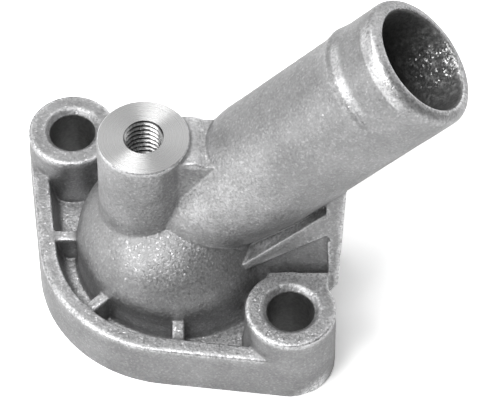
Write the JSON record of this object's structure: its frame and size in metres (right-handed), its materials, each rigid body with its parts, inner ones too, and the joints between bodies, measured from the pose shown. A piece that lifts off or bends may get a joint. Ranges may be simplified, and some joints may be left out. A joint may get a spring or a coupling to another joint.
{
  "type": "engine water outlet housing",
  "caption": "Cast water outlet housing with a ribbed flange bolted at both ends, a domed valve chamber, a slanted hose spigot and a tapped boss on its crown.",
  "frame": {"origin": "centre of the gasket face, midway between the bolt holes", "axes": "+Z along the bolts, away from the engine; +X in plan along the slanted spigot"},
  "size_m": [0.083, 0.0604, 0.0725],
  "materials": {
    "cast_metal": "as cast, blasted, with machined faces"
  },
  "bodies": {
    "root": {"outlet_casting": "cast_metal"}
  },
  "joints": []
}
